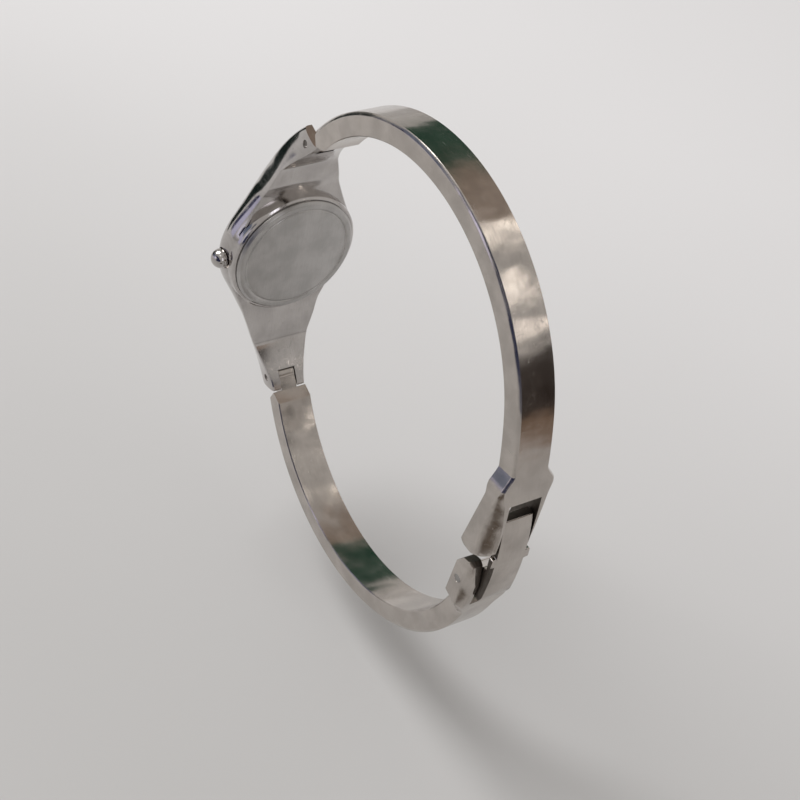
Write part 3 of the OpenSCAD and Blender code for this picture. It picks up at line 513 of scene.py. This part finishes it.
def bangle_ring(centre, angle, outer, inner, half, depth, run):
    """Section of the band across its path, with worn-round outer corners and a small inner bevel."""
    corner = []
    for step in range(CORNER_STEPS + 1):
        turn = math.radians(90 / CORNER_STEPS * step)
        fall = CORNER_ROUND * (1 - math.cos(turn)) + (1 - CORNER_ROUND) * step / CORNER_STEPS
        reach = CORNER_ROUND * (1 - math.sin(turn)) + (1 - CORNER_ROUND) * (1 - step / CORNER_STEPS)
        corner.append((outer - depth * fall, half - run * reach))
    side = corner + [(inner + INNER_BEVEL, half), (inner, half - INNER_BEVEL)]
    points = side + [(radius, -y) for radius, y in reversed(side)]
    turn = math.radians(angle)
    ring = []
    for radius, y in points:
        x = centre[0] + radius * math.cos(turn)
        z = centre[1] + radius * math.sin(turn)
        ring.append(Vector((x, y, z)) * MM)
    return ring


def side_ring(angle, shape):
    """Section of the long side at an angle, where the band widens into its block."""
    turn = math.radians(angle)
    height = SIDE_RADIUS * math.sin(turn)
    reach, slope = shape["inner"]
    inner = min(SIDE_RADIUS - BAND_THICKNESS, reach / (math.cos(turn) - slope * math.sin(turn)))
    half, depth, run = [between_rows(shape[row], height) for row in ("half", "depth", "run")]
    return bangle_ring((SIDE_X, 0), angle, SIDE_RADIUS, inner, half, depth, run)


def bangle_rings(up, shape):
    """The path of one half, from beyond its block round to the lug."""
    start, step_angle = -6.5, 0.6
    angles = [up * start + up * step_angle * step for step in range(39)]
    rings = [side_ring(angle, shape) for angle in angles if up * angle < JOIN_ANGLE]
    rings.append(side_ring(up * JOIN_ANGLE, shape))
    inner = BEND_RADIUS - BAND_THICKNESS
    steps = 54
    for step in range(1, steps + 1):
        angle = up * (JOIN_ANGLE + (BAND_END_ANGLE - JOIN_ANGLE) * step / steps)
        centre = (0, up * BEND_Z)
        rings.append(bangle_ring(centre, angle, BEND_RADIUS, inner, BAND_HALF, EDGE_DEPTH, EDGE_RUN))
    return rings


def from_pin(up, *places):
    """Places drawn from the upper hinge pin, turned over for the lower half."""
    return [(PIN[0] + x, up * (PIN[1] + z)) for x, z in places]


def arc(centre, radius, start, end, step):
    """Points of a round corner from one angle to another, in degrees."""
    turns = [math.radians(angle) for angle in range(start, end + 1, step)]
    return [(centre[0] + radius * math.cos(turn), centre[1] + radius * math.sin(turn)) for turn in turns]


def cross_rod(x, z, reach, radius):
    """A rod across the band, reaching so far to each side of its middle."""
    return rod((x, -reach, z), (x, reach, z), radius)


def upper_block_cuts():
    """Outline of the upper half with its rounded tip, its clasp slot and the bore of the catch pin."""
    inner_end, tip = 20.54, -3.9
    tip_radius = 2.8
    outline = [(-40, 40), (-40, tip + 1), (inner_end, tip + 1)]
    outline += arc((inner_end + 1, tip + 1), 1, 195, 270, 15)
    outline += arc((FACE + 0.2 - tip_radius, tip + tip_radius), tip_radius, 280, 360, 10)
    outline.append((40, 40))
    slot = block((10, -SLOT_HALF, -20), (40, SLOT_HALF, 4.6))
    return outline, slot, cross_rod(FACE - 2.157, -0.6, 2.95, CLASP_BORE)


def lower_block_cuts():
    """Outline of the lower half with its two prongs, its clasp slot and the bore of the pivot pin."""
    outline = [
        (-40, -40), (-40, -6.9), (FACE - 4.06, -6.9), (FACE - 2.96, -5.35), (FACE - 1.9, -5.1),
        (FACE - 1.35, -5.5), (FACE - 1.01, -8.5), (FACE - 1.41, -11.9), (40, -14), (40, -40),
    ]
    slot = block((10, -SLOT_HALF, -12.1), (40, SLOT_HALF, 20))
    return outline, slot, cross_rod(FACE - 3.057, -8.8, 5, CLASP_BORE)


def build_bangle_half(node, body, up):
    """Half of the bangle: one swept band that widens into its clasp block, with the hinge knuckle."""
    shape = UPPER_BLOCK if up > 0 else LOWER_BLOCK
    piece = as_object(loft(bangle_rings(up, shape)), node + "_body")
    outline, slot, bore = upper_block_cuts() if up > 0 else lower_block_cuts()
    band_end = from_pin(up, (-0.7, 7.5), (2, 0.9), (4.1, 1.6), (3, -6), (-8, -6), (-8, 12))
    reach = math.radians(BAND_END_ANGLE - 8)
    tongue_end = [
        (radius * math.cos(reach), up * (BEND_Z + radius * math.sin(reach))) for radius in (22.0, 23.4)
    ]
    link = plate(from_pin(up, (-0.1, 1.089), (0.5, -0.99)) + tongue_end, 2 * KNUCKLE_HALF)
    carve(piece, [
        ("DIFFERENCE", plate(band_end, 8)),
        ("INTERSECT", plate(outline, 9)),
        ("DIFFERENCE", slot),
        ("DIFFERENCE", bore),
        ("ROUND", 0.05),
        ("UNION", link),
        ("UNION", cross_rod(PIN[0], up * PIN[1], KNUCKLE_HALF, KNUCKLE_RADIUS)),
        ("DIFFERENCE", cross_rod(PIN[0], up * PIN[1], 5, KNUCKLE_BORE)),
    ], 23)
    piece.data.materials.clear()
    piece.data.materials.append(BAND)
    piece.data.materials.append(PAINTED_SHADE_STEEL)
    # Painted shade: the walls of the clasp slot and the upward faces in the gap between the prongs take
    # the near-black steel
    for face in piece.data.polygons:
        at_clasp = face.center.x > 15 * MM
        in_slot = abs(abs(face.center.y) / MM - SLOT_HALF) < 0.02
        at_gap = -7 * MM < face.center.z < -4.8 * MM and face.normal.z > 0.4
        if at_clasp and (in_slot or at_gap):
            face.material_index = 1
    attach(piece, body)
    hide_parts(node)


def build_case():
    """The polished case: its flowing sides run from the round body into both pairs of lug ears."""
    reaches = [step * 0.4 for step in range(49)]
    stations = [(reach, -1) for reach in reversed(reaches[1:])] + [(reach, 1) for reach in reaches]
    rings = []
    for reach, turn in stations:
        side = case_section(reach)
        rings.append([ring_place(point, turn, 1) for point in side]
                     + [ring_place(point, turn, -1) for point in reversed(side)])
    piece = as_object(loft(rings), "case_body")
    collar = [
        (7.6, CASE_FLOOR), (8.02, CASE_FLOOR), (8.22, CASE_FLOOR + 0.16), (8.3, CASE_FLOOR + 0.5),
        (8.3, 24.5), (7.6, 24.5), (7.6, CASE_FLOOR),
    ]
    # Bored in steps from the underside up: case back, movement, dial opening and glass
    inside = [
        (0, 20), (7.84, 20), (7.84, 23.9), (7.3, 23.9), (7.3, 26.2),
        (6.9, 26.2), (6.9, 26.95), (7.35, 26.95), (7.35, 30), (0, 30),
    ]
    crown_recess = rod((-CROWN_LEVEL, -7.7, 0), (-CROWN_LEVEL, -12, 0), 1.3)
    crown_bore = rod((-CROWN_LEVEL, -3, 0), (-CROWN_LEVEL, -12, 0), 0.76)
    steps = [
        ("UNION", spun(collar)),
        ("DIFFERENCE", spun(inside)),
        ("DIFFERENCE", crown_recess),
        ("DIFFERENCE", crown_bore),
    ]
    ear_gap_half = 1.15
    for turn in (-1, 1):
        low, high = sorted((16.5 * turn, 22 * turn))
        steps.append(("DIFFERENCE", block((-30, -ear_gap_half, low), (-15, ear_gap_half, high))))
        steps.append(("DIFFERENCE", cross_rod(PIN[0], PIN[1] * turn, 5, EAR_BORE)))
    carve(piece, steps)
    piece.data.materials.clear()
    piece.data.materials.append(CASE)
    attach(piece, "case")
    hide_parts("case_middle")


def flat_sheet(name, size, placed):
    """A square sheet, moved to its place in the studio."""
    form = bmesh.new()
    bmesh.ops.create_grid(form, x_segments=1, y_segments=1, size=size)
    sheet = as_object(form, name)
    sheet.data.transform(placed)
    return sheet


def build_floor():
    """Pale floor with a painted light fall-off, lighter towards the back, and low enough for the lower
    half to swing out above it.
    """
    clearance = 0.007
    placed = Matrix.Translation((0, 0, cad_box[0][2] - clearance))
    floor = flat_sheet("floor", 6, placed)
    paper = Finish("floor_paper", Roughness=0.8)
    point = paper.node("ShaderNodeTexCoord", {}, {}, "Object")
    # Painted light fall-off: the colour grows lighter away from the camera's side and darker towards the
    # front
    away = (-0.9, 1.6, 0)
    depth = paper.node("ShaderNodeVectorMath", {"operation": "DOT_PRODUCT"}, {0: point, 1: away}, 1)
    shade = depth.between(-0.10, 0.27) + (paper.noise(0.02, 1) - 0.5) * 0.12
    base = paper.mix(shade, rgb(0.53, 0.525, 0.522), rgb(0.77, 0.765, 0.775))
    floor.data.materials.append(paper.feed(Base_Color=base))


def soft_lamp(name, place, size, power):
    """A soft lamp that shines at the watch."""
    data = bpy.data.lights.new(name, "AREA")
    data.shape = "RECTANGLE"
    data.size, data.size_y = size
    data.energy = power
    lamp = bpy.data.objects.new(name, data)
    lamp.location = place
    lamp.rotation_euler = (-Vector(place)).to_track_quat("-Z", "Y").to_euler()
    bpy.context.scene.collection.objects.link(lamp)


def studio_card(name, place, width, height, colour, aim=(0, 0, 0)):
    """A card that only reflections show; it faces the place that it is aimed at."""
    turn = (Vector(aim) - Vector(place)).to_track_quat("Z", "Y").to_matrix().to_4x4()
    placed = Matrix.Translation(place) @ turn @ Matrix.Diagonal((width, height, 1, 1))
    card = flat_sheet(name, 0.5, placed)
    paper = Finish(name)
    seen = paper.node("ShaderNodeLightPath", {}, {}, "Is Glossy Ray")
    clear = paper.node("ShaderNodeBsdfTransparent", {}, {})
    shade = paper.node("ShaderNodeEmission", {}, {"Color": colour})
    blend = paper.node("ShaderNodeMixShader", {}, {0: seen, 1: clear, 2: shade})
    paper.tree.links.new(blend.output, paper.tree.nodes["Material Output"].inputs["Surface"])
    card.data.materials.append(paper.material)


def towards(azimuth, elevation, distance=0.5):
    """A place in the studio, seen from the watch; azimuth 0 is the clasp's side."""
    turn, rise = math.radians(azimuth), math.radians(elevation)
    across = math.cos(rise)
    return Vector((math.cos(turn) * across, math.sin(turn) * across, math.sin(rise))) * distance


NAVY = rgb(0.03, 0.036, 0.085)


def hang_cards():
    """The room that the polished steel mirrors, from the far side past the clasp to the crown's side."""
    studio_card("green_card", towards(138, 31), 0.34, 0.30, rgb(0.02, 0.065, 0.042))
    studio_card("tan_card", towards(112, 56, 0.49), 0.30, 0.13, rgb(0.30, 0.235, 0.19))
    studio_card("high_window", towards(80, 56), 0.09, 0.05, rgb(3.0, 2.8, 2.55))
    studio_card("middle_window", towards(49, 42), 0.045, 0.020, rgb(9.0, 8.4, 7.7))
    studio_card("low_window", towards(37, 26), 0.05, 0.034, rgb(4.0, 3.7, 3.4))
    studio_card("edge_window", towards(-8, 25), 0.08, 0.26, rgb(2.2, 2.2, 2.4))
    studio_card("ball_window", towards(-60, 66), 0.15, 0.12, rgb(1.7, 1.7, 1.7))
    studio_card("high_navy_card", towards(-84, 31), 0.52, 0.14, NAVY)
    studio_card("violet_card", towards(-104, 14), 0.14, 0.20, rgb(1.0, 0.98, 1.25))
    studio_card("blue_card", towards(-135, 14), 0.26, 0.22, rgb(0.17, 0.20, 0.28))


def hang_near_cards():
    """Cards close to the watch, each aimed at the part that mirrors it."""
    studio_card(
        "dark_card", (0.054, 0.022, 0.0187), 0.024, 0.0265,
        rgb(0.035, 0.026, 0.022), (0.02, 0, 0.0187),
    )
    studio_card(
        "brown_card", (0.054, 0.021, 0.0015), 0.024, 0.009,
        rgb(0.25, 0.17, 0.12), (0.02, 0, 0.0015),
    )
    studio_card(
        "clasp_card", (0.046, -0.037, -0.0315), 0.040, 0.027,
        rgb(0.09, 0.065, 0.045), (0.046, -0.037, 0),
    )
    studio_card("navy_card", (0.102, -0.192, 0.030), 0.20, 0.12, NAVY, (0.01, 0, 0.010))
    studio_card(
        "deep_blue_card", (-0.119, -0.088, 0.012), 0.024, 0.036,
        rgb(0.03, 0.032, 0.10), (-0.02, -0.008, 0.012),
    )
    studio_card(
        "pale_violet_card", (-0.103, -0.122, 0.008), 0.050, 0.028,
        rgb(0.62, 0.61, 0.80), (-0.022, -0.007, 0.008),
    )
    studio_card(
        "left_black_card", (-0.146, -0.039, 0.002), 0.065, 0.066,
        rgb(0.012, 0.020, 0.018), (-0.02, -0.008, 0.002),
    )


def build_lights():
    soft_lamp("left_softbox", (-0.42, -0.22, 0.62), (0.35, 0.5), 3.6)
    hang_cards()
    hang_near_cards()
    world = bpy.data.worlds.new("studio")
    bpy.context.scene.world = world
    world.use_nodes = True
    sky = world.node_tree.nodes["Background"]
    sky.inputs["Color"].default_value = rgb(0.62, 0.60, 0.58)
    sky.inputs["Strength"].default_value = 0.9


def build_camera():
    """The photograph's view; the focal length is measured in pixels of its frame."""
    focal_pixels, frame_pixels, sensor = 1671.9, 800, 36
    place = Vector((106.80, -90.25, 124.06)) * MM
    right = Vector((0.51285, 0.84036, 0.17545))
    up = Vector((-0.64950, 0.24617, 0.71941))
    back = Vector((0.56137, -0.48290, 0.67206))
    data = bpy.data.cameras.new("camera")
    data.sensor_width = sensor
    data.lens = focal_pixels / frame_pixels * sensor
    data.clip_start = 0.01
    camera = bpy.data.objects.new("camera", data)
    turn = Matrix((right, up, back)).transposed()
    camera.matrix_world = Matrix.Translation(place) @ turn.to_4x4()
    bpy.context.scene.collection.objects.link(camera)
    bpy.context.scene.camera = camera
    bpy.context.scene.view_settings.view_transform = "Standard"


finish_nodes()
round_edges("clasp_lever", "lever", 0.12)
round_edges("case_back", "case", 0.05)
round_edges("crown", "crown_spin", 0.08)
build_case()
build_bangle_half("upper_bangle", "upper_half", 1)
build_bangle_half("lower_bangle", "lower_half", -1)
build_floor()
build_lights()
build_camera()
